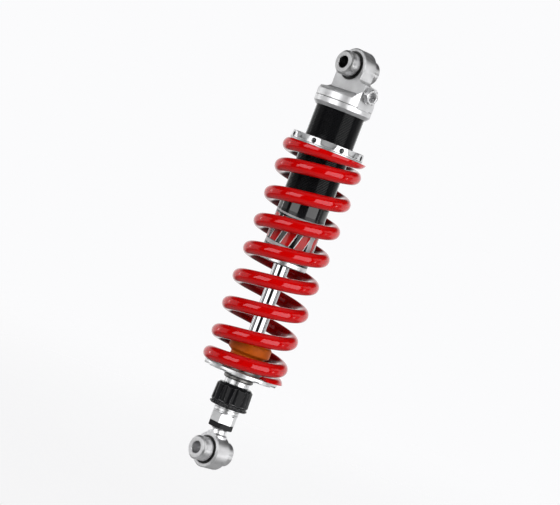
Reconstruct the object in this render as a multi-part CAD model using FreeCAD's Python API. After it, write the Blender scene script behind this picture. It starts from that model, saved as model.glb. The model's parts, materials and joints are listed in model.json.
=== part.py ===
import FreeCAD, Part

import math
import os

# Rear shock absorber, millimetres. The origin is the centre of the upper eye. +Z points up along the
# shock, both mounting bolts run along Y, and the side boss of the upper cap points to +X.

Vector = FreeCAD.Vector
ORIGIN = Vector(0, 0, 0)
X_AXIS = Vector(1, 0, 0)
Y_AXIS = Vector(0, 1, 0)
Z_AXIS = Vector(0, 0, 1)

# Overall
EYE_TO_EYE = 400.0
RUN = 0.05                       # radial running clearance of turning and sliding fits

# Eyes with their spherical bearings
EYE_R = 17.65
EYE_HALF = 8.3
EYE_CHAMFER = 0.8
RACE_R = 13.0
RACE_HALF = 4.5
BALL_R = 11.0
BALL_HALF = 6.0
BALL_BORE_R = 7.5
BOLT_R = 6.0
SPACER_R = 12.0
SPACER_NECK_R = 9.5
SPACER_NECK_END = 9.1
SPACER_END = 21.25
SPACER_CHAMFER = 1.75
CIRCLIP_T = 1.2
CIRCLIP_R = 13.6
CIRCLIP_BORE_R = 11.6
SEAL_SEAT_R = 14.0
SEAL_SEAT_START = 6.2
SEAL_BORE_R = 10.7
SEAL_FACE = 7.7

# Upper cap
CAP_R = 29.0
CAP_SHOULDER_R = 27.3
CAP_TOP = -24.5
CAP_SHOULDER_Z = -27.3
CAP_RIM = -30.5
CAP_GROOVE_Z = -37.3
CAP_SKIRT = -42.6
CAP_END = -46.0
CAP_END_R = 26.0
NECK_LEFT = -17.3
BOSS_TOP = -14.0
POCKET_FLOOR = -25.6
POCKET_EDGE = -29.6
PAD_X = 27.5
PAD_END = -38.5
PLUG_Z = -23.1
PLUG_AF = 14.0
PLUG_HEIGHT = 5.6
PLUG_SHANK_R = 5.0
PASSAGE_R = 3.0

# Damper tube
TUBE_TOP = -33.0
TUBE_R = 24.8
TUBE_BORE_R = 22.0
THREAD_PITCH = 1.5
THREAD_DEPTH = 0.75
THREAD_END = -141.2
PLAIN_R = 24.3
TUBE_END = -200.7
LABEL_TOP = -152.8
LABEL_END = -198.2
LABEL_T = 0.2

# Seal head
HEAD_TOP = -180.2
HEAD_END = -205.2
ROD_R = 8.0
BUSH_R = 10.0
BUSH_TOP = -182.2
BUSH_END = -192.2
OIL_SEAL_R = 13.0
OIL_SEAL_TOP = -193.7
OIL_SEAL_END = -199.2
WIPER_TOP = -201.2
WIPER_END = -206.2
HEAD_ORING_Z = -187.7

# Preload collar and upper seat ring
COLLAR_R = 37.5
COLLAR_TOP = -77.9
COLLAR_END = -85.1
COLLAR_FLANGE = 1.3
MERLONS = 8
NOTCH_DEPTH = 6.5
NOTCH_TOP_WIDTH = 18.0
NOTCH_FLOOR_WIDTH = 14.6
SPANNER_HOLE_R = 2.6
SPANNER_HOLE_Z = -81.8
SPANNER_HOLE_DEPTH = 8.0
SEAT_RING_R = 37.0
SEAT_RING_END = -86.6

# Coil spring
WIRE_R = 6.9
COIL_R = 35.2
SPRING_TOP = SEAT_RING_END
SPRING_END = -315.7
SPRING_START_ANGLE = 45.0
SPRING_START_Z = -84.8
SPRING_TURNS = 9.14
TOP_PITCH = 15.7
ACTIVE_PITCH = 28.76
END_PITCH = 13.6
FIRST_ACTIVE = 1.0
LAST_ACTIVE = 8.1
OPENING_BLEND = 0.5
CLOSING_BLEND = 0.7
POINTS_PER_TURN = 16

# Gas piston
GAS_PISTON_TOP = -49.0
GAS_PISTON_END = -59.0

# Piston, shims and rod
STEM_R = 5.0
NUT_TOP = -137.2
NUT_END = -145.2
NUT_AF = 17.0
PISTON_TOP = -147.6
PISTON_END = -161.6
PISTON_R = 21.0
PISTON_BAND_R = TUBE_BORE_R - 0.05
BAND_TOP = -150.6
BAND_END = -158.6
SHIM_T = 0.3
SHIM_RADII = (18.0, 16.0, 14.0, 12.0, 10.0)
SHIM_STEP = 0.48
TOPOUT_TOP = -165.7
TOPOUT_END = -179.8
ROD_END_Z = -349.2
ADJUSTER_R = 2.5
ADJUSTER_TOP = -148.2
CROSS_PIN_Z = -342.2
CROSS_PIN_R = 1.5
CROSS_PIN_HALF = 12.0
CROSS_SLOT_HALF = 2.7

# Bump stop and lower spring seat
BUMP_TOP = -286.7
BUMP_END = -313.7
BUMP_R = 21.0
BUMP_WAIST_R = 16.9
BUMP_WASHER_R = 20.0
SEAT_R = 37.5
SEAT_FLANGE_END = -320.2
SEAT_HUB_END = -322.5
SEAT_BORE_R = 12.0
RETAINER_R = 15.0
RETAINER_END = -326.3
STOP_RING_R = 12.6
STOP_RING_END = -331.4

# Rebound knob, rod end and locknut
KNOB_TOP = -331.7
KNOB_END = -354.4
KNOB_R = 19.2
KNOB_TOP_R = 18.3
KNOB_FLUTES = 10
KNOB_FLUTE_R = 5.0
KNOB_LIP = 3.2
SPIGOT_R = 11.0
ROD_END_RING_TOP = -354.7
ROD_END_RING_END = -360.7
ROD_END_HEX_END = -370.6
ROD_END_AF = 22.0
STUB_R = 8.0
NECK_R = 8.5
STUB_BORE_TOP = -352.5
STUB_TOP = -358.5
LOCKNUT_TOP = -370.7
LOCKNUT_END = -375.9
LOCKNUT_AF = 24.0
STUB_NECK = -378.6


def cylinder(radius, low, high):
    return Part.makeCylinder(radius, high - low, Vector(0, 0, low))


def ring(radius, bore, low, high):
    return cylinder(radius, low, high).cut(cylinder(bore, low - 1, high + 1))


def prism(points, axis):
    """Closed outline of 3-D points, extruded along the vector axis."""
    corners = [Vector(*point) for point in points]
    outline = Part.makePolygon(corners + corners[:1])
    return Part.Face(outline).extrude(axis)


def revolved(profile):
    """Solid of revolution about Z from an outline of (radius, z) points."""
    corners = [Vector(radius, 0, z) for radius, z in profile]
    outline = Part.makePolygon(corners + corners[:1])
    return Part.Face(outline).revolve(ORIGIN, Z_AXIS, 360)


def hexagon(flats, low, high, turned=0.0):
    """Hexagonal bar about Z; turned is the angle of one corner."""
    radius = flats / math.sqrt(3)
    angles = [math.radians(turned + 60 * k) for k in range(6)]
    corners = [(radius * math.cos(a), radius * math.sin(a), low) for a in angles]
    return prism(corners, Vector(0, 0, high - low))


def chamfered_hexagon(flats, low, high, turned=0.0, both=True):
    """Hexagonal bar whose corners are turned off at its top end, and at its lower end too if both."""
    corner = flats / math.sqrt(3)
    flat = flats / 2
    drop = (corner - flat) * math.tan(math.radians(30))
    foot = [(flat, low), (corner, low + drop)] if both else [(corner, low)]
    turned_off = revolved([(0, low)] + foot + [(corner, high - drop), (flat, high), (0, high)])
    return hexagon(flats, low, high, turned).common(turned_off)


def torus(radius, section, z):
    return Part.makeTorus(radius, section, Vector(0, 0, z))


def laid_along_y(shape, side, z):
    """Turns a part made about +Z so that its axis points to side * Y, with its origin at height z."""
    turned = shape.copy()
    turned.rotate(ORIGIN, X_AXIS, -90 * side)
    turned.translate(Vector(0, 0, z))
    return turned


# ---- eyes and spherical bearings ----

def eye_ring_solid():
    edge = EYE_R - EYE_CHAMFER
    inner = EYE_HALF - EYE_CHAMFER
    profile = [(0, -EYE_HALF), (edge, -EYE_HALF), (EYE_R, -inner), (EYE_R, inner),
        (edge, EYE_HALF), (0, EYE_HALF)]
    return laid_along_y(revolved(profile), 1, 0)


def eye_bore(z):
    """Everything that is machined out of an eye: race bore, circlip grooves and seal seats."""
    mouth = SEAL_SEAT_R + 0.5
    groove = (RACE_HALF + 0.05, RACE_HALF + CIRCLIP_T + 0.15)
    half = [
        (RACE_R, groove[0]), (CIRCLIP_R + 0.1, groove[0]), (CIRCLIP_R + 0.1, groove[1]),
        (RACE_R, groove[1]),
        (RACE_R, SEAL_SEAT_START), (SEAL_SEAT_R, SEAL_SEAT_START), (SEAL_SEAT_R, EYE_HALF - 0.5),
        (mouth, EYE_HALF), (mouth, EYE_HALF + 1),
    ]
    mirrored = [(radius, -y) for radius, y in reversed(half)]
    tool = revolved([(0, EYE_HALF + 1), (0, -EYE_HALF - 1)] + mirrored + half)
    return laid_along_y(tool, 1, z)


def bearing_race(z):
    outer = ring(RACE_R, BALL_R * 0.5, -RACE_HALF, RACE_HALF)
    return laid_along_y(outer.cut(Part.makeSphere(BALL_R + RUN)), 1, z)


def bearing_ball(z):
    band = Part.makeSphere(BALL_R).common(cylinder(BALL_R + 1, -BALL_HALF, BALL_HALF))
    return laid_along_y(band.cut(cylinder(BALL_BORE_R, -BALL_HALF - 1, BALL_HALF + 1)), 1, z)


def bearing_spacer(side, z):
    shank = BALL_BORE_R - RUN
    chamfer = SPACER_CHAMFER
    profile = [
        (BOLT_R, 0.5), (shank, 0.5), (shank, BALL_HALF), (SPACER_NECK_R, BALL_HALF),
        (SPACER_NECK_R, SPACER_NECK_END),
        (SPACER_R - 0.4, SPACER_NECK_END), (SPACER_R, SPACER_NECK_END + 0.4),
        (SPACER_R, SPACER_END - chamfer),
        (SPACER_R - chamfer, SPACER_END), (BOLT_R + 0.5, SPACER_END), (BOLT_R, SPACER_END - 0.5),
    ]
    return laid_along_y(revolved(profile), side, z)


def bearing_circlip(side, z):
    clip = ring(CIRCLIP_R, CIRCLIP_BORE_R, RACE_HALF + 0.1, RACE_HALF + 0.1 + CIRCLIP_T)
    gap = Part.makeBox(2 * CIRCLIP_R, 5.0, 10.0, Vector(0, -2.5, 0))
    return laid_along_y(clip.cut(gap), side, z)


def bearing_seal(side, z):
    lip = SEAL_BORE_R + 0.9
    profile = [
        (SEAL_BORE_R, SEAL_FACE - 0.5), (lip, SEAL_SEAT_START + 0.1),
        (SEAL_SEAT_R - 0.05, SEAL_SEAT_START + 0.1),
        (SEAL_SEAT_R - 0.05, SEAL_FACE), (SEAL_BORE_R + 0.3, SEAL_FACE),
    ]
    return laid_along_y(revolved(profile), side, z)


def spherical_bearing(name, z):
    pieces = {name + "_race": bearing_race(z), name + "_ball": bearing_ball(z)}
    for side, word in ((-1, "front"), (1, "back")):
        pieces[f"{name}_spacer_{word}"] = bearing_spacer(side, z)
        pieces[f"{name}_circlip_{word}"] = bearing_circlip(side, z)
        pieces[f"{name}_seal_{word}"] = bearing_seal(side, z)
    return pieces


# ---- upper cap ----

def boss_edge(z):
    """X of the sloping end wall of the side pockets at height z."""
    return 24.0 + 0.42 * (z - POCKET_EDGE)


def cap_pocket(side):
    """Space milled away beside the neck, with a rounded foot and a sloping floor."""
    wall = side * EYE_HALF
    far = side * (CAP_R + 2)
    foot = 2.2
    start = Vector(0, wall, POCKET_FLOOR + foot)
    bend = Vector(0, wall + side * foot * 0.3, POCKET_FLOOR + foot * 0.3)
    landing = Vector(0, wall + side * foot, POCKET_FLOOR - 0.3)
    edge = Vector(0, far, POCKET_EDGE - 0.4)
    high_far = Vector(0, far, 20)
    high_near = Vector(0, wall, 20)
    outline = Part.Wire([
        Part.Arc(start, bend, landing).toShape(),
        Part.LineSegment(landing, edge).toShape(),
        Part.LineSegment(edge, high_far).toShape(),
        Part.LineSegment(high_far, high_near).toShape(),
        Part.LineSegment(high_near, start).toShape(),
    ])
    trough = Part.Face(outline).extrude(Vector(80, 0, 0))
    trough.translate(Vector(-40, 0, 0))
    low = CAP_RIM - 1
    limits = prism([
        (-40, -40, 20), (-40, -40, CAP_TOP + 0.3), (NECK_LEFT - 3, -40, CAP_TOP + 0.1),
        (NECK_LEFT - 6, -40, low),
        (boss_edge(low), -40, low), (boss_edge(20), -40, 20),
    ], Vector(0, 80, 0))
    return trough.common(limits)


def neck_plate():
    """Plate between the eye and the round cap; its right end is the shoulder of the side boss."""
    near = NECK_LEFT
    outline = [
        (near, 0), (near, CAP_TOP + 1.6), (near - 0.9, CAP_TOP + 0.5), (near - 3, CAP_TOP - 0.3),
        (near - 3, CAP_RIM),
        (CAP_R + 1, CAP_RIM), (CAP_R + 1, BOSS_TOP - 0.6), (20.0, BOSS_TOP + 0.6),
        (17.6, BOSS_TOP + 1.6),
        (16.6, BOSS_TOP + 3.6), (EYE_R - 0.2, -3), (0, 0),
    ]
    return prism([(x, -EYE_HALF, z) for x, z in outline], Vector(0, 2 * EYE_HALF, 0))


def side_boss():
    """Segment of the round cap that rises to the shoulder beside the neck."""
    top = BOSS_TOP + 0.2
    outline = [(boss_edge(CAP_RIM), CAP_RIM), (CAP_R + 1, CAP_RIM), (CAP_R + 1, BOSS_TOP - 0.6),
        (boss_edge(top), top)]
    block = prism([(x, -CAP_R, z) for x, z in outline], Vector(0, 2 * CAP_R, 0))
    return block.common(cylinder(CAP_R, CAP_RIM - 1, 0))


def eye_cap():
    socket_r = TUBE_R + RUN
    groove = 0.35
    body = revolved([
        (0, CAP_TOP), (20, CAP_TOP - 0.2), (CAP_SHOULDER_R, CAP_SHOULDER_Z), (CAP_R, CAP_RIM),
        (CAP_R, CAP_GROOVE_Z + groove), (CAP_R - 0.6, CAP_GROOVE_Z), (CAP_R, CAP_GROOVE_Z - groove),
        (CAP_R, CAP_SKIRT), (CAP_END_R, CAP_END), (0, CAP_END),
    ])
    plate = neck_plate().common(cylinder(CAP_R, CAP_RIM - 1, 1))
    body = body.fuse([plate, side_boss(), eye_ring_solid()])
    body = body.cut(cap_pocket(-1)).cut(cap_pocket(1)).fuse(plate)
    pad = Part.makeBox(20, 60, 40, Vector(PAD_X, -30, PAD_END))
    cross = Part.makeCylinder(PASSAGE_R, PAD_X, Vector(0, 0, PLUG_Z), X_AXIS)
    plug_hole = Part.makeCylinder(PLUG_SHANK_R, 13, Vector(PAD_X - 12, 0, PLUG_Z), X_AXIS)
    down = cylinder(PASSAGE_R, TUBE_TOP - 1, PLUG_Z)
    socket = cylinder(socket_r, CAP_END - 1, TUBE_TOP)
    oring_groove = cylinder(socket_r + 1.6, CAP_END + 3.0, CAP_END + 5.4)
    body = body.cut([pad, cross, plug_hole, down, socket, oring_groove, eye_bore(0)])
    return body.removeSplitter()


def cap_oring():
    cord = torus(TUBE_R + RUN + 0.75, 0.8, CAP_END + 4.2)
    return cord.cut(cylinder(TUBE_R + 0.01, CAP_END, TUBE_TOP))


def laid_along_x(shape, x, z):
    turned = shape.copy()
    turned.rotate(ORIGIN, Y_AXIS, 90)
    turned.translate(Vector(x, 0, z))
    return turned


def side_plug():
    head = chamfered_hexagon(PLUG_AF, 1.0, 1.0 + PLUG_HEIGHT, 90, both=False)
    shank = cylinder(PLUG_SHANK_R - 0.02, -10, 1.0)
    socket = hexagon(8.0, PLUG_HEIGHT - 3.4, PLUG_HEIGHT + 2, 90)
    mouth = Part.makeCone(4.0, 5.0, 1.0, Vector(0, 0, PLUG_HEIGHT))
    return laid_along_x(head.fuse(shank).cut([socket, mouth]), PAD_X, PLUG_Z)


def plug_washer():
    return laid_along_x(ring(7.6, PLUG_SHANK_R + 0.02, 0, 1.0), PAD_X, PLUG_Z)


# ---- damper tube and what is fixed in it ----

def thread_profile(crest, low, high, pitch, depth):
    """Points of a V thread seen from the side, from low to high."""
    points = []
    for turn in range(int((high - low) / pitch)):
        z = low + turn * pitch
        points += [(crest, z + 0.15 * pitch), (crest - depth, z + 0.5 * pitch),
            (crest, z + 0.85 * pitch)]
    return points


def damper_tube():
    threads = thread_profile(TUBE_R, THREAD_END, TUBE_TOP - 1.5, THREAD_PITCH, THREAD_DEPTH)
    profile = [
        (TUBE_BORE_R, TUBE_TOP), (TUBE_BORE_R, TUBE_END), (PLAIN_R - 0.3, TUBE_END),
        (PLAIN_R, TUBE_END + 0.3),
        (PLAIN_R, THREAD_END - 0.5), (TUBE_R, THREAD_END),
    ] + threads + [(TUBE_R - 0.8, TUBE_TOP)]
    return revolved(profile)


def label_sleeve():
    sleeve = ring(PLAIN_R + 0.02 + LABEL_T, PLAIN_R + 0.02, LABEL_END, LABEL_TOP)
    seam = Part.makeBox(20, 20, 60, Vector(-10 - PLAIN_R, 0, LABEL_END - 5))
    seam.rotate(ORIGIN, Z_AXIS, -45)
    return sleeve.cut(seam)


def seal_head():
    profile = [
        (ROD_R + 0.4, HEAD_TOP), (TUBE_BORE_R - 0.6, HEAD_TOP), (TUBE_BORE_R - 0.03, HEAD_TOP - 1),
        (TUBE_BORE_R - 0.03, TUBE_END), (PLAIN_R - 0.1, TUBE_END), (PLAIN_R - 0.1, HEAD_END + 0.8),
        (PLAIN_R - 0.9, HEAD_END), (ROD_R + 0.4, HEAD_END),
    ]
    body = revolved(profile)
    bush_seat = cylinder(BUSH_R, BUSH_END, HEAD_TOP + 1)
    seal_seat = cylinder(OIL_SEAL_R, HEAD_END - 1, OIL_SEAL_TOP)
    groove = ring(TUBE_BORE_R + 1, TUBE_BORE_R - 2.1, HEAD_ORING_Z - 1.3, HEAD_ORING_Z + 1.3)
    return body.cut([bush_seat, seal_seat, groove])


def seal_head_oring():
    return torus(TUBE_BORE_R - 1.06, 1.03, HEAD_ORING_Z)


def rod_bush():
    return ring(BUSH_R - 0.01, ROD_R + RUN, BUSH_END, BUSH_TOP + 1.0)


def oil_seal():
    return ring(OIL_SEAL_R - 0.01, ROD_R + 0.08, OIL_SEAL_END, OIL_SEAL_TOP)


def rod_wiper():
    profile = [
        (ROD_R + 0.08, WIPER_END), (ROD_R + 1.0, WIPER_END), (ROD_R + 2.2, HEAD_END),
        (OIL_SEAL_R - 0.01, HEAD_END),
        (OIL_SEAL_R - 0.01, WIPER_TOP + 1.5), (ROD_R + 0.6, WIPER_TOP + 1.5),
        (ROD_R + 0.6, WIPER_END + 1.5),
    ]
    return revolved(profile)


def gas_piston():
    body = revolved([
        (0, GAS_PISTON_TOP - 5), (14, GAS_PISTON_TOP - 5), (17, GAS_PISTON_TOP),
        (TUBE_BORE_R - RUN, GAS_PISTON_TOP),
        (TUBE_BORE_R - RUN, GAS_PISTON_END), (0, GAS_PISTON_END),
    ])
    middle = (GAS_PISTON_TOP + GAS_PISTON_END) / 2
    return body.cut(ring(TUBE_BORE_R + 1, TUBE_BORE_R - 2.1, middle - 1.3, middle + 1.3))


def gas_piston_oring():
    return torus(TUBE_BORE_R - 1.1, 1.0, (GAS_PISTON_TOP + GAS_PISTON_END) / 2)


# ---- preload collar, seat ring and spring ----

def collar_notch():
    """One gap between two merlons of the collar, cut from above; it opens towards +X."""
    floor = COLLAR_END + COLLAR_FLANGE
    inner = COLLAR_R - NOTCH_DEPTH
    top = NOTCH_TOP_WIDTH / 2
    low = NOTCH_FLOOR_WIDTH / 2
    fillet = 1.0
    outline = [
        (inner, -top, COLLAR_TOP + 1), (inner, -low, floor + fillet), (inner, -low + fillet, floor),
        (inner, low - fillet, floor), (inner, low, floor + fillet), (inner, top, COLLAR_TOP + 1),
    ]
    return prism(outline, Vector(NOTCH_DEPTH + 2, 0, 0))


def preload_collar():
    edge = 0.5
    body = revolved([
        (TUBE_R + 0.08, COLLAR_END), (COLLAR_R - edge, COLLAR_END), (COLLAR_R, COLLAR_END + edge),
        (COLLAR_R, COLLAR_TOP - edge), (COLLAR_R - edge, COLLAR_TOP), (TUBE_R + 1.0, COLLAR_TOP),
        (TUBE_R + 0.08, COLLAR_TOP - 0.9),
    ])
    cuts = []
    for k in range(MERLONS):
        step = 360.0 / MERLONS
        notch = collar_notch()
        notch.rotate(ORIGIN, Z_AXIS, step * k)
        start = Vector(COLLAR_R - SPANNER_HOLE_DEPTH, 0, SPANNER_HOLE_Z)
        hole = Part.makeCylinder(SPANNER_HOLE_R, SPANNER_HOLE_DEPTH + 1, start, X_AXIS)
        hole.rotate(ORIGIN, Z_AXIS, step * (k + 0.5))
        cuts += [notch, hole]
    return body.cut(cuts)


def spring_seat_ring():
    edge = 0.4
    return revolved([
        (TUBE_R + 0.5, SEAT_RING_END), (SEAT_RING_R - edge, SEAT_RING_END),
        (SEAT_RING_R, SEAT_RING_END + edge),
        (SEAT_RING_R, COLLAR_END), (TUBE_R + 0.5, COLLAR_END),
    ])


def blended(low, high, share):
    share = min(max(share, 0.0), 1.0)
    return low + (high - low) * share * share * (3 - 2 * share)


def pitch_at(turn):
    """Drop of the wire per turn: closed end coils and open coils between them."""
    opening = (turn - FIRST_ACTIVE) / OPENING_BLEND + 0.5
    closing = (turn - LAST_ACTIVE) / CLOSING_BLEND + 0.5
    return blended(TOP_PITCH, ACTIVE_PITCH, opening) - blended(0, ACTIVE_PITCH - END_PITCH, closing)


def coil_centre_line():
    points = []
    z = SPRING_START_Z
    steps = int(round(SPRING_TURNS * POINTS_PER_TURN))
    step = SPRING_TURNS / steps
    for k in range(steps + 1):
        turn = k * step
        angle = math.radians(SPRING_START_ANGLE - 360 * turn)
        points.append(Vector(COIL_R * math.cos(angle), COIL_R * math.sin(angle), z))
        z -= pitch_at(turn + step / 2) * step
    return points


def coil_spring():
    points = coil_centre_line()
    curve = Part.BSplineCurve()
    curve.interpolate(points)
    path = Part.Wire(curve.toShape())
    tangent = curve.tangent(curve.FirstParameter)[0]
    section = Part.Wire(Part.Circle(points[0], tangent, WIRE_R).toShape())
    wire = path.makePipeShell([section], True, True)
    height = 30
    above = cylinder(COIL_R + 20, SPRING_TOP, SPRING_TOP + height)
    below = cylinder(COIL_R + 20, SPRING_END - height, SPRING_END)
    return wire.cut([above, below])


# ---- rod with piston ----

def piston_rod():
    body = revolved([
        (0, NUT_TOP - 0.5), (STEM_R - 0.5, NUT_TOP - 0.5), (STEM_R, NUT_TOP - 1), (STEM_R, TOPOUT_TOP),
        (ROD_R, TOPOUT_TOP), (ROD_R, ROD_END_Z + 1), (ROD_R - 1, ROD_END_Z), (0, ROD_END_Z),
    ])
    bore = cylinder(ADJUSTER_R + 0.08, CROSS_PIN_Z - CROSS_SLOT_HALF - 2, NUT_TOP + 1)
    return body.cut([bore, cross_slot(ROD_R + 1)])


def cross_slot(half_length):
    width = 2 * CROSS_PIN_R + 0.4
    return Part.makeBox(
        2 * half_length, width, 2 * CROSS_SLOT_HALF,
        Vector(-half_length, -width / 2, CROSS_PIN_Z - CROSS_SLOT_HALF)
    )


def piston_nut():
    hole = cylinder(STEM_R + 0.02, NUT_END - 1, NUT_TOP + 1)
    return chamfered_hexagon(NUT_AF, NUT_END, NUT_TOP, 0).cut(hole)


def piston():
    body = ring(PISTON_R, STEM_R + 0.02, PISTON_END, PISTON_TOP)
    seat = ring(PISTON_R + 1, PISTON_R - 1.5, BAND_END, BAND_TOP)
    ports = []
    for k in range(8):
        port = Part.makeCylinder(2.2, 30, Vector(14.0, 0, PISTON_END - 5))
        port.rotate(ORIGIN, Z_AXIS, 45 * k)
        ports.append(port)
    return body.cut([seat] + ports)


def piston_band():
    return ring(PISTON_BAND_R, PISTON_R - 1.5 + RUN, BAND_END + 0.1, BAND_TOP - 0.1)


def shim_stack(first, direction):
    """Discs that get smaller away from the piston face at height first."""
    discs = []
    for k, radius in enumerate(SHIM_RADII):
        near = first + direction * k * SHIM_STEP
        low = min(near, near + direction * SHIM_T)
        discs.append(ring(radius, STEM_R + 0.02, low, low + SHIM_T))
    return Part.makeCompound(discs)


def topout_bumper():
    mid = (TOPOUT_TOP + TOPOUT_END) / 2
    return revolved([
        (ROD_R + 0.02, TOPOUT_TOP - 0.1), (14, TOPOUT_TOP - 0.1), (15.5, TOPOUT_TOP - 2), (13.2, mid),
        (15.5, TOPOUT_END + 2), (14, TOPOUT_END), (ROD_R + 0.02, TOPOUT_END),
    ])


def topout_washer():
    return ring(16.0, STEM_R + 0.02, TOPOUT_TOP, TOPOUT_TOP + 1.6)


# ---- adjuster, bump stop and lower seat ----

def adjuster_rod():
    body = revolved([
        (0, ADJUSTER_TOP), (0.8, ADJUSTER_TOP), (ADJUSTER_R, ADJUSTER_TOP - 5),
        (ADJUSTER_R, CROSS_PIN_Z - 3.5),
        (0, CROSS_PIN_Z - 3.5),
    ])
    return body.cut(Part.makeCylinder(CROSS_PIN_R, 20, Vector(-10, 0, CROSS_PIN_Z), X_AXIS))


def cross_pin():
    start = Vector(-CROSS_PIN_HALF, 0, CROSS_PIN_Z)
    return Part.makeCylinder(CROSS_PIN_R, 2 * CROSS_PIN_HALF, start, X_AXIS)


def bump_stop():
    return revolved([
        (ROD_R + 0.05, BUMP_END), (19.4, BUMP_END), (20.2, BUMP_END + 1.2), (20.2, BUMP_END + 7.0),
        (BUMP_WAIST_R, BUMP_END + 11.2), (BUMP_WAIST_R, BUMP_END + 13.8), (BUMP_R, BUMP_END + 16.8),
        (BUMP_R, BUMP_TOP - 2.0), (BUMP_R - 1.6, BUMP_TOP), (12.0, BUMP_TOP), (10.0, BUMP_TOP - 2.5),
        (ROD_R + 0.05, BUMP_TOP - 2.5),
    ])


def bump_washer():
    return ring(BUMP_WASHER_R, ROD_R + 0.05, SPRING_END, BUMP_END)


def lower_spring_seat():
    edge = 0.5
    body = revolved([
        (SEAT_BORE_R, SPRING_END), (SEAT_R - edge, SPRING_END), (SEAT_R, SPRING_END - edge),
        (SEAT_R, SEAT_FLANGE_END + edge), (SEAT_R - edge, SEAT_FLANGE_END), (24.0, SEAT_FLANGE_END),
        (17.0, SEAT_HUB_END), (SEAT_BORE_R, SEAT_HUB_END),
    ])
    pockets = [seat_pocket(360.0 / MERLONS * (k + 0.5)) for k in range(MERLONS)]
    return body.cut(pockets)


def seat_pocket(angle):
    """Shallow trapezoid pocket in the underside of the lower seat's rim."""
    ceiling = SEAT_FLANGE_END + 1.7
    outline = [(29.0, -4.6, ceiling), (SEAT_R + 1, -7.0, ceiling), (SEAT_R + 1, 7.0, ceiling),
        (29.0, 4.6, ceiling)]
    pocket = prism(outline, Vector(0, 0, -4))
    pocket.rotate(ORIGIN, Z_AXIS, angle)
    return pocket


def seat_retainer():
    return revolved([
        (ROD_R + 0.02, RETAINER_END), (RETAINER_R - 1.0, RETAINER_END),
        (RETAINER_R, RETAINER_END + 1.0),
        (RETAINER_R, SEAT_HUB_END - 0.8), (RETAINER_R - 0.8, SEAT_HUB_END),
        (SEAT_BORE_R - 0.05, SEAT_HUB_END),
        (SEAT_BORE_R - 0.05, SPRING_END - 1.5), (ROD_R + 0.02, SPRING_END - 1.5),
    ])


def knob_stop_ring():
    edge = 0.4
    return revolved([
        (ROD_R + 0.02, STOP_RING_END), (STOP_RING_R - edge, STOP_RING_END),
        (STOP_RING_R, STOP_RING_END + edge),
        (STOP_RING_R, RETAINER_END), (ROD_R + 0.02, RETAINER_END),
    ])


# ---- knob, rod end and locknut ----

def rebound_knob():
    lip_top = KNOB_END + KNOB_LIP
    bore = SPIGOT_R + 0.08
    cam_r = CROSS_PIN_HALF + 0.3
    grip = revolved([
        (bore, KNOB_TOP), (KNOB_TOP_R - 2.4, KNOB_TOP), (KNOB_TOP_R, KNOB_TOP - 2.4),
        (KNOB_R - 0.3, lip_top + 1.2),
        (KNOB_R - 1.3, lip_top + 0.2), (KNOB_R - 1.3, lip_top - 0.2), (KNOB_R, lip_top - 1.0),
        (KNOB_R, KNOB_END + 1.0), (KNOB_R - 1.2, KNOB_END), (bore, KNOB_END),
    ])
    cuts = [ring(cam_r, bore - 1, CROSS_PIN_Z - CROSS_SLOT_HALF, CROSS_PIN_Z + CROSS_SLOT_HALF)]
    length = KNOB_TOP - lip_top + 5
    for k in range(KNOB_FLUTES):
        start = Vector(KNOB_R + KNOB_FLUTE_R - 1.5, 0, lip_top + 2.0)
        flute = Part.makeCylinder(KNOB_FLUTE_R, length, start)
        flute.rotate(ORIGIN, Z_AXIS, 360.0 / KNOB_FLUTES * k)
        cuts.append(flute)
    return grip.cut(cuts)


def rod_end():
    groove = 0.25
    first = ROD_END_RING_TOP - 1.6
    second = ROD_END_RING_END + 1.3
    body = revolved([
        (0, STOP_RING_END), (SPIGOT_R - 0.5, STOP_RING_END), (SPIGOT_R, STOP_RING_END - 0.5),
        (SPIGOT_R, ROD_END_RING_TOP), (STOP_RING_R - 0.3, ROD_END_RING_TOP),
        (STOP_RING_R, ROD_END_RING_TOP - 0.3),
        (STOP_RING_R, first + groove), (STOP_RING_R - 0.4, first), (STOP_RING_R, first - groove),
        (STOP_RING_R, second + groove), (STOP_RING_R - 0.4, second), (STOP_RING_R, second - groove),
        (STOP_RING_R, ROD_END_RING_END), (0, ROD_END_RING_END),
    ])
    body = body.fuse(chamfered_hexagon(ROD_END_AF, ROD_END_HEX_END, ROD_END_RING_END, 0, both=False))
    rod_hole = cylinder(ROD_R + 0.02, ROD_END_Z, STOP_RING_END + 1)
    stub_hole = cylinder(STUB_R + 0.08, ROD_END_HEX_END - 1, STUB_BORE_TOP)
    return body.cut([rod_hole, stub_hole, cross_slot(SPIGOT_R + 1)])


def locknut():
    hole = cylinder(STUB_R + 0.08, LOCKNUT_END - 1, LOCKNUT_TOP + 1)
    return chamfered_hexagon(LOCKNUT_AF, LOCKNUT_END, LOCKNUT_TOP, -45).cut(hole)


def lower_eye():
    threads = thread_profile(STUB_R, STUB_NECK + 1, STUB_TOP, THREAD_PITCH, THREAD_DEPTH)
    root = -EYE_TO_EYE + EYE_R
    stub = revolved(
        [(0, root - 5), (NECK_R + 1.6, root - 5), (NECK_R + 1.6, root - 0.2),
            (NECK_R + 0.4, root + 0.8),
         (NECK_R, root + 1.8), (STUB_R, STUB_NECK)]
        + threads + [(STUB_R - 0.8, STUB_TOP), (0, STUB_TOP)]
    )
    body = eye_ring_solid()
    body.translate(Vector(0, 0, -EYE_TO_EYE))
    slab = Part.makeBox(40, 2 * EYE_HALF, 60, Vector(-20, -EYE_HALF, -EYE_TO_EYE))
    neck = stub.common(slab.fuse(cylinder(STUB_R, STUB_NECK - 2, STUB_TOP)))
    return body.fuse(neck).cut(eye_bore(-EYE_TO_EYE)).removeSplitter()


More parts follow.
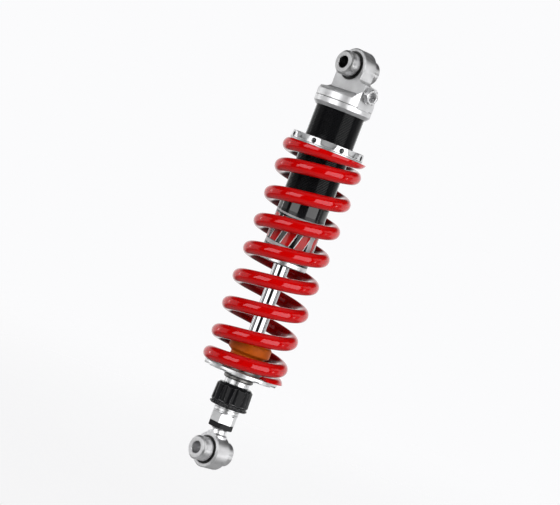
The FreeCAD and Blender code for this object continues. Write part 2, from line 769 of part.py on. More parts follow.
def all_parts():
    parts = {
        "eye_cap": eye_cap(),
        "cap_oring": cap_oring(),
        "side_plug": side_plug(),
        "plug_washer": plug_washer(),
        "damper_tube": damper_tube(),
        "label_sleeve": label_sleeve(),
        "gas_piston": gas_piston(),
        "gas_piston_oring": gas_piston_oring(),
        "seal_head": seal_head(),
        "seal_head_oring": seal_head_oring(),
        "rod_bush": rod_bush(),
        "oil_seal": oil_seal(),
        "rod_wiper": rod_wiper(),
        "preload_collar": preload_collar(),
        "spring_seat_ring": spring_seat_ring(),
        "coil_spring": coil_spring(),
        "piston_rod": piston_rod(),
        "piston_nut": piston_nut(),
        "piston": piston(),
        "piston_band": piston_band(),
        "compression_shims": shim_stack(PISTON_END, -1),
        "rebound_shims": shim_stack(PISTON_TOP, 1),
        "topout_washer": topout_washer(),
        "topout_bumper": topout_bumper(),
        "adjuster_rod": adjuster_rod(),
        "cross_pin": cross_pin(),
        "bump_stop": bump_stop(),
        "bump_washer": bump_washer(),
        "lower_spring_seat": lower_spring_seat(),
        "seat_retainer": seat_retainer(),
        "knob_stop_ring": knob_stop_ring(),
        "rebound_knob": rebound_knob(),
        "rod_end": rod_end(),
        "locknut": locknut(),
        "lower_eye": lower_eye(),
    }
    parts.update(spherical_bearing("upper", 0))
    parts.update(spherical_bearing("lower", -EYE_TO_EYE))
    return parts


os.makedirs("parts", exist_ok=True)
for node, shape in all_parts().items():
    shape.exportStep(os.path.join("parts", node + ".step"))
    state = "valid" if shape.isValid() else "INVALID"
    print(node, state, len(shape.Solids), "solids", round(shape.Volume), "mm3")
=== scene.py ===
import json
import math

import bpy
from mathutils import Matrix, Vector

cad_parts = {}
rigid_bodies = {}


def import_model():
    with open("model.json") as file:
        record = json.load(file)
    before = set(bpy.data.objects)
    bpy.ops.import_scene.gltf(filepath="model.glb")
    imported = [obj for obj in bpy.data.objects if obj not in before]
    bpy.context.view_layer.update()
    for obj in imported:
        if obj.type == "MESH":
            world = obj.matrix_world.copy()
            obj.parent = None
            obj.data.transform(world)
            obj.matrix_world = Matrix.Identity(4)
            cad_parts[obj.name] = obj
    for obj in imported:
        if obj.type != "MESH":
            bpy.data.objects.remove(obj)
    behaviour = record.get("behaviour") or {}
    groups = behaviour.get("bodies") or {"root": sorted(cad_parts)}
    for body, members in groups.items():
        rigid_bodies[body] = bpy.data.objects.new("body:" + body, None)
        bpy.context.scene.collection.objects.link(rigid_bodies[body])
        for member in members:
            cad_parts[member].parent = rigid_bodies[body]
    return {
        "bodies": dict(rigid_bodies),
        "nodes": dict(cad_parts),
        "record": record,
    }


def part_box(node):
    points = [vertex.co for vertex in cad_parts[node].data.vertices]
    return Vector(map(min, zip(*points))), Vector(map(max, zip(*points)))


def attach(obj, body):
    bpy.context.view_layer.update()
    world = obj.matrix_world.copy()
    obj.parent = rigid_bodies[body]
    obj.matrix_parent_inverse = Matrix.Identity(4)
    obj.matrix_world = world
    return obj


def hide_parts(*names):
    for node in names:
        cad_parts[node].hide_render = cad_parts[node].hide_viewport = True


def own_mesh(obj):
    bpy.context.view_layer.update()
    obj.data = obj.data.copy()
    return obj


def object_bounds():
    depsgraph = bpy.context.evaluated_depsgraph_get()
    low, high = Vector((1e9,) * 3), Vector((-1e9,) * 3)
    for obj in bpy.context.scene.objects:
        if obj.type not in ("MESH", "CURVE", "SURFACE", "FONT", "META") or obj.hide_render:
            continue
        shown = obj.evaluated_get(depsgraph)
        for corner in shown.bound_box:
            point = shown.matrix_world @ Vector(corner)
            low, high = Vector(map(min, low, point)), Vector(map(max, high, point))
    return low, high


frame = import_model()
CAD_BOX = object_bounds()
NODES = frame["nodes"]
MM = 0.001


# ---------------------------------------------------------------- node helpers

class Graph:
    """Short forms for building a node tree, which starts empty unless its nodes are kept."""

    def __init__(self, tree, keep=False):
        self.tree = tree
        if not keep:
            tree.nodes.clear()

    def add(self, kind, inputs=None, **settings):
        node = self.tree.nodes.new(kind)
        for key, value in settings.items():
            setattr(node, key, value)
        for key, value in (inputs or {}).items():
            self.feed(node.inputs[key], value)
        return node

    def feed(self, socket, value):
        if isinstance(value, bpy.types.NodeSocket):
            self.tree.links.new(value, socket)
        else:
            socket.default_value = value

    def math(self, operation, first, second=0.0, clamp=False):
        node = self.add("ShaderNodeMath", {0: first, 1: second}, operation=operation, use_clamp=clamp)
        return node.outputs[0]

    def ramp(self, value, low, high, out_low=0.0, out_high=1.0):
        """Smooth step from out_low at low to out_high at high."""
        node = self.add("ShaderNodeMapRange", interpolation_type="SMOOTHSTEP")
        for key, number in (
            ("Value", value), ("From Min", low), ("From Max", high),
            ("To Min", out_low), ("To Max", out_high),
        ):
            self.feed(node.inputs[key], number)
        return node.outputs["Result"]

    def noise(self, scale, detail=3.0, rough=0.5, vector=None, w=None):
        node = self.add("ShaderNodeTexNoise", {"Scale": scale, "Detail": detail, "Roughness": rough})
        if w is not None:
            node.noise_dimensions = "1D"
            self.feed(node.inputs["W"], w)
        elif vector is not None:
            self.feed(node.inputs["Vector"], vector)
        return node.outputs["Fac"]

    def product(self, *values):
        result = values[0]
        for value in values[1:]:
            result = self.math("MULTIPLY", result, value)
        return result

    def vector(self, operation, first, second=None):
        inputs = {0: first} if second is None else {0: first, 1: second}
        return self.add("ShaderNodeVectorMath", inputs, operation=operation)

    def split(self, vector):
        parts = self.add("ShaderNodeSeparateXYZ", {0: vector})
        return [parts.outputs[k] for k in range(3)]

    def place(self):
        """Where the shaded point is in the object's own frame."""
        return self.add("ShaderNodeTexCoord").outputs["Object"]

    def finish(self, shader):
        out = self.add("ShaderNodeOutputMaterial")
        self.tree.links.new(shader.outputs[0], out.inputs["Surface"])

    def blend(self, share, first, second):
        node = self.add("ShaderNodeMix", data_type="RGBA")
        self.feed(node.inputs[0], share)
        self.feed(node.inputs[6], first)
        self.feed(node.inputs[7], second)
        return node.outputs[2]


def rgba(colour):
    return (*colour, 1.0)


def scaled(colour, factor):
    return tuple(min(1.0, c * factor) for c in colour)


# ---------------------------------------------------------------- materials

RELIEF = 0.02 * MM             # height of tool marks and grain
THREAD_END = -141.2 * MM
THREAD_PITCH = 1.5 * MM
THREAD_DEPTH = 0.05 * MM
TUBE_R = 24.4                  # millimetres, as all of the label's drawing is
LABEL_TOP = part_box("label_sleeve")[1].z
LABEL_DIP = 3.4                # how far the drawing hangs lower at the front
PRINT_SOFTNESS = 0.18

ALLOY = (0.68, 0.682, 0.69)
STEEL = (0.66, 0.66, 0.665)
BLACK = (0.008, 0.008, 0.009)
MOULDED_BLACK = (0.006, 0.006, 0.007)
LABEL_SILVER = (0.42, 0.42, 0.43)
LABEL_WHITE = (0.78, 0.78, 0.79)
LABEL_RED = (0.46, 0.004, 0.004)
LABEL_DIRT = (0.05, 0.05, 0.05)
RED_DEEP = (0.54, 0.0, 0.0)
RED_BRIGHT = (0.60, 0.0003, 0.0003)
# Painted shade for the spring wire's inner side.
RED_SHADED = (0.24, 0.0, 0.0)


def new_material(name):
    material = bpy.data.materials.new(name)
    material.use_nodes = True
    return material, Graph(material.node_tree)


def turned_coordinate(g, axis, centre_z):
    """The place, and radius plus height round a turning axis: its bands are rings on faces and sides."""
    place = g.place()
    x, y, z = g.split(place)
    if axis == "Z":
        across, along = y, z
    else:
        across, along = g.math("SUBTRACT", z, centre_z), y
    square = g.math("ADD", g.math("MULTIPLY", x, x), g.math("MULTIPLY", across, across))
    radius = g.math("SQRT", square)
    return place, g.math("ADD", radius, along)


def edge_mask(g, reach):
    """A rounded normal, and its angle to the true one as a mask: 0 on open faces, 1 on sharp edges."""
    rounded = g.add("ShaderNodeBevel", {"Radius": reach}, samples=6).outputs["Normal"]
    true = g.add("ShaderNodeNewGeometry").outputs["Normal"]
    cosine = g.vector("DOT_PRODUCT", rounded, true).outputs["Value"]
    return rounded, g.ramp(cosine, 0.995, 0.80)


def open_sky(g, reach):
    """1 on open faces, towards 0 in corners, slots and bores narrower than reach."""
    return g.add("ShaderNodeAmbientOcclusion", {"Distance": reach}, samples=6).outputs["AO"]


def surface(
    name, colour, rough, metallic=1.0, axis="Z", centre_z=0.0, marks=0.25, mark_scale=4200.0, cloud=0.12,
    grain=0.0, grain_scale=3500.0, wear_and_highlight=0.35, wear_and_highlight_colour=(0.86, 0.86, 0.87), edge=0.35 * MM, ior=1.5,
    specular=0.5, rough_spread=0.10, crevice=1.5 * MM, crevice_shade_depth=0.45,
):
    """Turned or moulded surface: tool-mark rings, grain, cloudy roughness, lighter edges that are worn
    edges and on the black knob a painted highlight, and painted shade in crevices and bores.
    """
    material, g = new_material(name)
    place, ring_at = turned_coordinate(g, axis, centre_z)
    rings = g.noise(mark_scale, 2.0, 0.6, w=ring_at)
    clouds = g.noise(45.0, 4.0, 0.55, vector=place)
    fine = g.noise(grain_scale, 2.0, 0.6, vector=place)
    rounded, edges = edge_mask(g, edge)
    # Lighter edges: worn edges on most parts, and on the black knob a painted highlight along the flute
    # edges.
    worn_and_highlit = g.math("MULTIPLY", edges, g.ramp(clouds, 0.35, 0.65, 0.4 * wear_and_highlight, wear_and_highlight))
    tint = g.ramp(clouds, 0.3, 0.7, 0.0, 1.0)
    body = g.blend(tint, rgba(scaled(colour, 1 - cloud)), rgba(scaled(colour, 1 + cloud)))
    shade = g.blend(worn_and_highlit, body, rgba(wear_and_highlight_colour))
    # Painted shade: where little open space surrounds a point, in corners, slots and bores, the colour
    # darkens towards a near-black copy.
    dirt_and_shade = g.ramp(open_sky(g, crevice), 0.25, 0.85, crevice_shade_depth, 0.0)
    shade = g.blend(dirt_and_shade, shade, rgba(scaled(colour, 0.06)))
    uneven = g.math("ADD", g.ramp(rings, 0.3, 0.7, -0.5, 0.5), g.ramp(clouds, 0.3, 0.7, -0.5, 0.5))
    roughness = g.math("MULTIPLY_ADD", uneven, rough_spread, clamp=True)
    roughness.node.inputs[2].default_value = rough
    height = g.math("ADD", g.math("MULTIPLY", rings, marks), g.math("MULTIPLY", fine, grain))
    bump = g.add("ShaderNodeBump", {
        "Strength": 1.0, "Distance": RELIEF, "Height": height, "Normal": rounded,
    })
    shader = g.add("ShaderNodeBsdfPrincipled", {
        "Base Color": shade, "Metallic": metallic, "Roughness": roughness, "IOR": ior,
        "Normal": bump.outputs["Normal"], "Specular IOR Level": specular,
    })
    g.finish(shader)
    return material


def black_tube():
    """Gloss black anodising; the cut thread is duller than the plain end, with a helical ripple."""
    material = surface(
        "black_anodised", BLACK, 0.08, metallic=0.0, ior=1.45, marks=0.03, wear_and_highlight=0.2,
        wear_and_highlight_colour=(0.10, 0.10, 0.105), rough_spread=0.03, edge=0.08 * MM,
    )
    g = Graph(material.node_tree, keep=True)
    shader = next(node for node in g.tree.nodes if node.type == "BSDF_PRINCIPLED")
    bump = next(node for node in g.tree.nodes if node.type == "BUMP")
    x, y, z = g.split(g.place())
    threaded = g.ramp(z, THREAD_END - 0.3 * MM, THREAD_END + 0.3 * MM)
    gloss = g.math("SUBTRACT", 0.55, g.math("MULTIPLY", threaded, 0.30))
    g.feed(shader.inputs["Specular IOR Level"], gloss)
    turn = g.math("DIVIDE", g.math("ARCTAN2", y, x), 2 * math.pi)
    phase = g.math("MULTIPLY", g.math("SUBTRACT", g.math("DIVIDE", z, THREAD_PITCH), turn), 2 * math.pi)
    depth = g.math("MULTIPLY", g.math("SINE", phase), threaded)
    thread = g.add("ShaderNodeBump", {
        "Strength": 1.0, "Distance": THREAD_DEPTH, "Height": depth, "Normal": bump.outputs["Normal"],
    })
    g.feed(shader.inputs["Normal"], thread.outputs["Normal"])
    return material


def over(g, value, limit):
    """0 below the limit and 1 above it, with the soft edge of a print."""
    return g.ramp(value, limit - PRINT_SOFTNESS, limit + PRINT_SOFTNESS)


def between(g, value, low, high):
    return g.math("MULTIPLY", over(g, value, low), g.math("SUBTRACT", 1.0, over(g, value, high)))


def label_drawing(g, place):
    """Silver top border, slanted red bars edged in white on black, a silver side strip and fine lines."""
    x, y, z = g.split(place)
    turn = g.math("ARCTAN2", g.math("ADD", x, y), g.math("SUBTRACT", x, y))
    across = g.math("MULTIPLY", turn, TUBE_R)
    down = g.math("MULTIPLY", g.math("SUBTRACT", LABEL_TOP, z), 1000.0)
    below = g.math("SUBTRACT", down, g.math("MULTIPLY", g.math("COSINE", turn), LABEL_DIP))
    slant = g.math("ADD", across, g.math("MULTIPLY", down, 0.30))
    bar = g.math("PINGPONG", g.math("ADD", slant, 3.0), 7.5)
    field = between(g, below, 4.2, 30.0)
    from_strip = g.math("ABSOLUTE", g.math("SUBTRACT", across, 21.0))
    strip = g.math("SUBTRACT", 1.0, over(g, from_strip, 3.0))
    slanted_down = g.math("ADD", down, g.math("MULTIPLY", across, 0.16))
    line = over(g, g.math("PINGPONG", slanted_down, 1.3), 0.95)
    shade = rgba(MOULDED_BLACK)
    for share, colour in (
        (between(g, below, 0.4, 2.2), LABEL_SILVER),
        (g.product(field, over(g, bar, 2.3)), LABEL_WHITE),
        (g.product(field, over(g, bar, 3.1)), LABEL_RED),
        (between(g, below, 13.5, 15.5), MOULDED_BLACK),
        (between(g, below, 30.6, 34.5), LABEL_SILVER),
        (g.product(strip, between(g, below, 3.0, 36.0)), LABEL_SILVER),
        (g.product(over(g, below, 36.0), line, 0.8), LABEL_SILVER),
    ):
        shade = g.blend(share, shade, rgba(colour))
    return shade


def label_print():
    """Printed wrap with a drawing of bars and lines, a little dirt and a film's waviness."""
    material, g = new_material("label_print")
    place = g.place()
    clouds = g.noise(60.0, 3.0, 0.5, vector=place)
    dirt_and_shade = g.ramp(clouds, 0.35, 0.7, 0.0, 0.12)
    shade = g.blend(dirt_and_shade, label_drawing(g, place), rgba(LABEL_DIRT))
    waves = g.noise(900.0, 2.0, 0.5, vector=place)
    bump = g.add("ShaderNodeBump", {"Strength": 0.3, "Distance": 0.01 * MM, "Height": waves})
    shader = g.add("ShaderNodeBsdfPrincipled", {
        "Base Color": shade, "Roughness": g.ramp(clouds, 0.3, 0.7, 0.10, 0.18),
        "Normal": bump.outputs["Normal"], "Specular IOR Level": 0.25,
    })
    g.finish(shader)
    return material


def spring_paint():
    """Gloss red powder coat with a slight orange peel, deeper and duller where it faces the tube: a
    painted shade on the wire's inner side.
    """
    material, g = new_material("spring_paint")
    place = g.place()
    peel = g.noise(420.0, 2.0, 0.5, vector=place)
    clouds = g.noise(30.0, 3.0, 0.5, vector=place)
    flat = g.vector("MULTIPLY", place, (1.0, 1.0, 0.0)).outputs["Vector"]
    outward = g.vector("NORMALIZE", flat).outputs["Vector"]
    normal = g.add("ShaderNodeNewGeometry").outputs["Normal"]
    facing = g.vector("DOT_PRODUCT", normal, outward).outputs["Value"]
    # Painted shade: the side of the wire that faces the tube takes the darker red.
    inner = g.ramp(facing, -0.55, 0.15, 1.0, 0.0)
    shade = g.blend(inner, g.blend(clouds, rgba(RED_DEEP), rgba(RED_BRIGHT)), rgba(RED_SHADED))
    bump = g.add("ShaderNodeBump", {"Strength": 0.04, "Distance": 0.03 * MM, "Height": peel})
    shader = g.add("ShaderNodeBsdfPrincipled", {
        "Base Color": shade, "Roughness": g.ramp(clouds, 0.3, 0.7, 0.05, 0.08), "IOR": 1.5,
        "Specular IOR Level": g.math("SUBTRACT", 0.5, g.math("MULTIPLY", inner, 0.42)),
        "Specular Tint": (1.0, 0.66, 0.74, 1.0),
        "Normal": bump.outputs["Normal"],
    })
    g.finish(shader)
    return material


# The crevice reach and the depth after it set how far and how dark each surface's painted shade in
# corners, slots and bores goes; the bearing's bore gets the darkest.
MATERIALS = {
    "cap_aluminium": surface("cap_alloy", ALLOY, 0.42, marks=0.2, wear_and_highlight=0.4, crevice=6 * MM, crevice_shade_depth=0.85),
    "collar_aluminium": surface(
        "collar_alloy", ALLOY, 0.36, marks=0.2, wear_and_highlight=0.4, crevice=3 * MM, crevice_shade_depth=0.8,
    ),
    "bearing_steel": surface(
        "bearing_steel", STEEL, 0.30, axis="Y", marks=0.12, wear_and_highlight=0.5, crevice=14 * MM, crevice_shade_depth=0.90,
    ),
    "plug_steel": surface("plug_steel", (0.72, 0.72, 0.73), 0.25, marks=0.3),
    "black_anodised": black_tube(),
    "spring_red": spring_paint(),
    "label_film": label_print(),
    "rod_chrome": surface(
        "rod_chrome", (0.42, 0.42, 0.43), 0.02, marks=0.01, cloud=0.03, rough_spread=0.015,
    ),
    "bump_foam": surface(
        "bump_foam", (0.47, 0.088, 0.002), 0.5, metallic=0.0, marks=0.1, grain=0.8, specular=0.12,
        grain_scale=1600.0, cloud=0.25, wear_and_highlight=0.3, wear_and_highlight_colour=(0.66, 0.24, 0.02),
    ),
    "seal_rubber": surface(
        "seal_rubber", (0.012, 0.012, 0.012), 0.55, metallic=0.0, marks=0.2, grain=0.6,
        wear_and_highlight=0.2, wear_and_highlight_colour=(0.05, 0.05, 0.05),
    ),
    # The knob's light edge colour is a painted highlight along its flutes.
    "knob_black": surface(
        "knob_black", MOULDED_BLACK, 0.14, metallic=0.0, ior=1.4, marks=0.06, grain=0.1,
        specular=0.14, wear_and_highlight=1.0, wear_and_highlight_colour=(0.50, 0.50, 0.51), edge=0.5 * MM,
    ),
    "nut_black": surface(
        "nut_black", MOULDED_BLACK, 0.2, metallic=0.0, ior=1.4, marks=0.15, grain=0.1,
        specular=0.2, wear_and_highlight=0.3, wear_and_highlight_colour=(0.12, 0.12, 0.12),
    ),
    "dark_steel": surface("dark_steel", (0.17, 0.165, 0.16), 0.38, marks=0.5, wear_and_highlight=0.5),
    "inner_steel": surface("inner_steel", (0.55, 0.54, 0.53), 0.25, marks=0.4),
    "inner_aluminium": surface("inner_alloy", (0.62, 0.62, 0.64), 0.32, marks=0.5),
    "bush_bronze": surface("bush_bronze", (0.50, 0.30, 0.12), 0.30, marks=0.4),
    "band_plastic": surface("band_plastic", (0.05, 0.12, 0.09), 0.5, metallic=0.0, marks=0.2),
}
LOWER_EYE_Z = -0.4
# The lower eye's steel, with weaker painted shade in its bore.
LOWER_STEEL = surface(
    "lower_eye_steel", (0.80, 0.80, 0.81), 0.38, axis="Y", centre_z=LOWER_EYE_Z, marks=0.12,
    wear_and_highlight=0.5, crevice_shade_depth=0.6,
)

SLOTS = {part["node"]: part["material_slot"] for part in frame["record"]["subparts"]}


def dress_nodes():
    """Gives every CAD node the material of its slot."""
    for name, node in NODES.items():
        slot = SLOTS[name]
        material = MATERIALS[slot]
        if slot == "bearing_steel" and name.startswith("lower"):
            material = LOWER_STEEL
        node.data.materials.clear()
        node.data.materials.append(material)


dress_nodes()


# ---------------------------------------------------------------- coil spring

WIRE_R = 6.9 * MM
COIL_R = 35.2 * MM
START_ANGLE = 45.0
TURNS = 9.14
TOP_PITCH = 15.7 * MM
ACTIVE_PITCH = 28.76 * MM
END_PITCH = 13.6 * MM
FIRST_ACTIVE = 1.0
LAST_ACTIVE = 8.1
OPENING_BLEND = 0.5
CLOSING_BLEND = 0.7
SPRING_LOW, SPRING_HIGH = (corner.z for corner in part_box("coil_spring"))
START_RISE = 1.8 * MM          # the first coil's centre is above the ground top plane
RINGS_PER_TURN = 96
WIRE_SIDES = 40


def smoothstep(share):
    share = min(max(share, 0.0), 1.0)
    return share * share * (3 - 2 * share)


def pitch_at(turn):
    opening = smoothstep((turn - FIRST_ACTIVE) / OPENING_BLEND + 0.5)
    closing = smoothstep((turn - LAST_ACTIVE) / CLOSING_BLEND + 0.5)
    return TOP_PITCH + (ACTIVE_PITCH - TOP_PITCH) * opening - (ACTIVE_PITCH - END_PITCH) * closing


def spring_line():
    """Centre line of the wire at rest, and each point's share of the lower seat's travel."""
    steps = int(TURNS * RINGS_PER_TURN)
    step = TURNS / steps
    z = SPRING_HIGH + START_RISE
    points, shares = [], []
    for k in range(steps + 1):
        turn = k * step
        angle = math.radians(START_ANGLE - 360 * turn)
        points.append((COIL_R * math.cos(angle), COIL_R * math.sin(angle), z))
        shares.append(min(max((turn - FIRST_ACTIVE) / (LAST_ACTIVE - FIRST_ACTIVE), 0.0), 1.0))
        z -= pitch_at(turn + step / 2) * step
    return points, shares


def slide_height(g, body):
    """How far a sliding body stands from its rest place along Z."""
    info = g.add("GeometryNodeObjectInfo", {"Object": frame["bodies"][body]}, transform_space="ORIGINAL")
    return g.split(info.outputs["Location"])[2]


def attribute(g, name):
    node = g.add("GeometryNodeInputNamedAttribute", {"Name": name}, data_type="FLOAT")
    return node.outputs["Attribute"]


def moved_to(g, geometry, x, y, z):
    """The geometry with each point set to a new place."""
    target = g.add("ShaderNodeCombineXYZ", {0: x, 1: y, 2: z}).outputs[0]
    return g.add("GeometryNodeSetPosition", {"Geometry": geometry, "Position": target}).outputs[0]


def smooth_but_sharp_ends(g, geometry):
    """Smooth shading, with a hard edge round the ground ends."""
    smooth = g.add("GeometryNodeSetShadeSmooth", {"Geometry": geometry}).outputs[0]
    angle = g.add("GeometryNodeInputMeshEdgeAngle").outputs["Unsigned Angle"]
    blunt = g.add(
        "FunctionNodeCompare", {0: angle, 1: math.radians(35)}, operation="LESS_THAN", data_type="FLOAT",
    )
    inputs = {"Geometry": smooth, "Shade Smooth": blunt.outputs[0]}
    return g.add("GeometryNodeSetShadeSmooth", inputs, domain="EDGE").outputs[0]


def coil_nodes(material):
    """Sweeps a round wire along the centre line, whose turns close up as the seats at its ends move."""
    tree = bpy.data.node_groups.new("coil", "GeometryNodeTree")
    tree.interface.new_socket("Geometry", in_out="INPUT", socket_type="NodeSocketGeometry")
    tree.interface.new_socket("Geometry", in_out="OUTPUT", socket_type="NodeSocketGeometry")
    g = Graph(tree)
    start = g.add("NodeGroupInput")
    top = slide_height(g, "seat_ring")
    bottom = slide_height(g, "piston_band")
    share = attribute(g, "share")
    with_bottom = g.math("MULTIPLY", bottom, share)
    with_top = g.math("MULTIPLY", top, g.math("SUBTRACT", 1.0, share))
    height = g.math("ADD", attribute(g, "rest_z"), g.math("ADD", with_bottom, with_top))
    x, y, _ = g.split(g.add("GeometryNodeInputPosition").outputs[0])
    line = moved_to(g, start.outputs[0], x, y, height)
    curve = g.add("GeometryNodeMeshToCurve", {"Mesh": line})
    circle = g.add("GeometryNodeCurvePrimitiveCircle", {"Resolution": WIRE_SIDES, "Radius": WIRE_R})
    wire = g.add("GeometryNodeCurveToMesh", {
        "Curve": curve.outputs[0], "Profile Curve": circle.outputs[0], "Fill Caps": True,
    })
    x, y, z = g.split(g.add("GeometryNodeInputPosition").outputs[0])
    ceiling = g.math("ADD", top, SPRING_HIGH)
    floor = g.math("ADD", bottom, SPRING_LOW)
    ground = g.math("MAXIMUM", g.math("MINIMUM", z, ceiling), floor)
    cut = moved_to(g, wire.outputs[0], x, y, ground)
    shaded = smooth_but_sharp_ends(g, cut)
    painted = g.add("GeometryNodeSetMaterial", {"Geometry": shaded, "Material": material})
    end = g.add("NodeGroupOutput")
    g.tree.links.new(painted.outputs[0], end.inputs[0])
    return tree


def make_spring():
    points, shares = spring_line()
    mesh = bpy.data.meshes.new("spring_wire")
    mesh.from_pydata(points, [(k, k + 1) for k in range(len(points) - 1)], [])
    for name, values in (("rest_z", [p[2] for p in points]), ("share", shares)):
        mesh.attributes.new(name, "FLOAT", "POINT").data.foreach_set("value", values)
    mesh.materials.append(MATERIALS["spring_red"])
    spring = bpy.data.objects.new("spring_wire", mesh)
    bpy.context.scene.collection.objects.link(spring)
    modifier = spring.modifiers.new("coil", "NODES")
    modifier.node_group = coil_nodes(MATERIALS["spring_red"])
    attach(spring, "damper")
    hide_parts("coil_spring")
    spring.visible_glossy = False
    return spring


spring = make_spring()
# The squash is stated for the exported model; here the nodes set every height from rest_z instead.
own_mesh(spring)


# ---------------------------------------------------------------- camera

AZIMUTH = 45.0
ELEVATION = 1.4
DISTANCE = 2.39
ROLL = 20.92
LENS = 157.5
AIM = Vector((0, 0, -0.2))
SIDE, RISE = -0.0040, 0.0070     # how far the camera stands off the line to its aim
SENSOR_WIDTH = 36.0


def direction(azimuth, elevation):
    """Unit vector; azimuth 0 is towards -Y and 90 towards +X."""
    a, e = math.radians(azimuth), math.radians(elevation)
    return Vector((math.sin(a) * math.cos(e), -math.cos(a) * math.cos(e), math.sin(e)))


def facing(back):
    """Turn of a camera or lamp that has this direction behind it."""
    return back.to_track_quat("Z", "Y").to_matrix().to_4x4()


def make_camera():
    back = direction(AZIMUTH, ELEVATION)
    turn = facing(back) @ Matrix.Rotation(math.radians(ROLL), 4, "Z")
    data = bpy.data.cameras.new("camera")
    data.lens = LENS
    data.sensor_width = SENSOR_WIDTH
    data.clip_start, data.clip_end = 0.05, 100.0
    camera = bpy.data.objects.new("camera", data)
    bpy.context.scene.collection.objects.link(camera)
    shift = turn.to_3x3() @ Vector((SIDE, RISE, 0))
    camera.matrix_world = Matrix.Translation(AIM + back * DISTANCE + shift) @ turn
    bpy.context.scene.camera = camera
    return back


CAMERA_BACK = make_camera()


# ---------------------------------------------------------------- studio

def band(g, value, low, high, soft):
    """1 between low and high, fading out over soft on each side."""
    rise = g.ramp(value, low - soft, low + soft)
    fall = g.ramp(value, high - soft, high + soft, 1.0, 0.0)
    return g.math("MULTIPLY", rise, fall)


PAPER_WHITE = (0.965, 0.965, 0.975)
WALL_FROM, WALL_FULL = 102.0, 110.0     # the white wall behind, in degrees from the camera
SHADE = 0.02
GROUND_GLOW = 0.40
CEILING_SHADE, CEILING_GLOW = 0.03, 0.32
# left, right, low, high, level and side softness of each patch of light, in degrees round and up
PANELS = (
    (-62.0, -20.0, -6.0, 40.0, 3.4, 1.5),
    (21.0, 72.0, -22.0, 34.0, 3.4, 1.5),
)
FILLS = (
    (-108.0, -79.0, -24.0, 24.0, 0.75, 4.0),
    (80.0, 112.0, -34.0, 8.0, 0.35, 4.0),
    (80.0, 116.0, 14.0, 36.0, 0.8, 4.0),
)
STRIPS = (
    (-118.0, -113.5, -9.0, 6.0, 6.0, 1.0),
    (86.5, 89.5, -12.0, 3.0, 6.0, 1.0),
)


def angles(g, way):
    """Degrees round the object from the camera to its right, and degrees up from the horizon."""
    x, y, z = g.split(way)
    front = Vector((CAMERA_BACK.x, CAMERA_BACK.y)).normalized()
    nearness = g.math("ADD", g.math("MULTIPLY", x, front.x), g.math("MULTIPLY", y, front.y))
    side = g.math("ADD", g.math("MULTIPLY", x, -front.y), g.math("MULTIPLY", y, front.x))
    round_it = g.math("DEGREES", g.math("ARCTAN2", side, nearness))
    return round_it, g.math("DEGREES", g.math("ARCSINE", z))


def studio_world():
    """Even white for the camera; for reflections a dark studio with patches of light and a wall."""
    world = bpy.data.worlds.new("studio")
    world.use_nodes = True
    g = Graph(world.node_tree)
    round_it, up = angles(g, g.add("ShaderNodeTexCoord").outputs["Generated"])
    glow = g.ramp(up, -50.0, -15.0, GROUND_GLOW, SHADE)
    glow = g.math("MAXIMUM", glow, g.ramp(up, 42.0, 75.0, CEILING_SHADE, CEILING_GLOW))
    behind = g.ramp(g.math("ABSOLUTE", round_it), WALL_FROM, WALL_FULL)
    wall = g.math("MULTIPLY", behind, band(g, up, -22.0, 22.0, 8.0))
    glow = g.math("MAXIMUM", glow, wall)
    for left, right, low, high, level, soft in PANELS + FILLS + STRIPS:
        wide = band(g, round_it, left, right, soft)
        tall = band(g, up, low, high, 3.0)
        glow = g.math("MAXIMUM", glow, g.product(wide, tall, level))
    seen = g.add("ShaderNodeLightPath").outputs["Is Camera Ray"]
    strength = g.blend(seen, glow, rgba(PAPER_WHITE))
    sky = g.add("ShaderNodeBackground", {"Color": strength, "Strength": 1.0})
    out = g.add("ShaderNodeOutputWorld")
    g.tree.links.new(sky.outputs[0], out.inputs["Surface"])
    bpy.context.scene.world = world


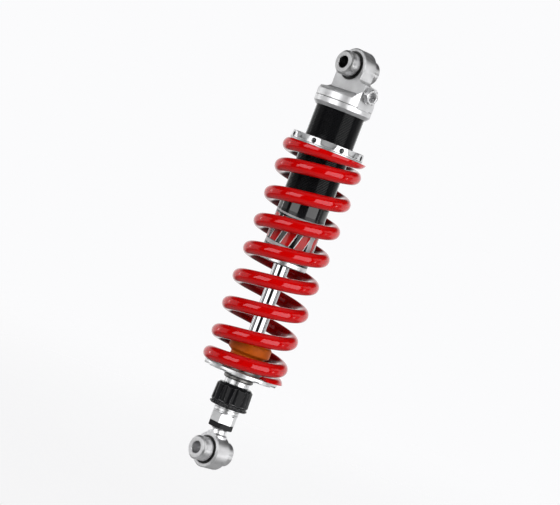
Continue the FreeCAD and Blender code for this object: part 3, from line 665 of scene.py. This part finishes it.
def softbox(name, azimuth, elevation, distance, width, height, radiance):
    """Soft light that shows in no reflection; azimuth is from the camera, to its right."""
    data = bpy.data.lights.new(name, "AREA")
    data.shape = "RECTANGLE"
    data.size, data.size_y = width, height
    data.energy = radiance * math.pi * width * height
    lamp = bpy.data.objects.new(name, data)
    bpy.context.scene.collection.objects.link(lamp)
    way = direction(AZIMUTH + azimuth, elevation)
    lamp.matrix_world = Matrix.Translation(AIM + way * distance) @ facing(way)
    lamp.visible_camera = False
    lamp.visible_glossy = False


def studio_lights():
    softbox("back_fill", 180, 30, 2.6, 1.6, 1.6, 2.5)


FLOOR_REACH = 12.0
FLOOR_DROP = 0.06              # how far the object floats above the floor
FLOOR_FADE = (0.8, 2.2)        # distances between which the floor fades into the white surround


def floor_paper():
    """Pale paper that lights itself a little and fades out far from the object."""
    material, g = new_material("floor")
    place = g.place()
    distance = g.vector("LENGTH", place).outputs["Value"]
    far = g.ramp(distance, *FLOOR_FADE)
    paper = g.noise(300.0, 3.0, 0.5, vector=place)
    shade = g.blend(paper, rgba((0.955, 0.955, 0.965)), rgba((0.985, 0.985, 0.99)))
    matt = g.add("ShaderNodeBsdfDiffuse", {"Color": shade})
    glow = g.add("ShaderNodeEmission", {"Color": shade, "Strength": 1.0})
    lit = g.add("ShaderNodeMixShader", {0: 0.85, 1: matt.outputs[0], 2: glow.outputs[0]})
    clear = g.add("ShaderNodeBsdfTransparent")
    both = g.add("ShaderNodeMixShader", {0: far, 1: lit.outputs[0], 2: clear.outputs[0]})
    g.finish(both)
    return material


def make_floor():
    mesh = bpy.data.meshes.new("floor")
    z = CAD_BOX[0].z - FLOOR_DROP
    corners = [(FLOOR_REACH * x, FLOOR_REACH * y, z) for x, y in ((-1, -1), (1, -1), (1, 1), (-1, 1))]
    mesh.from_pydata(corners, [], [(0, 1, 2, 3)])
    mesh.materials.append(floor_paper())
    floor = bpy.data.objects.new("floor", mesh)
    bpy.context.scene.collection.objects.link(floor)
    floor.visible_glossy = False
    floor.visible_diffuse = False


studio_world()
studio_lights()
make_floor()
bpy.context.scene.view_settings.view_transform = "Standard"
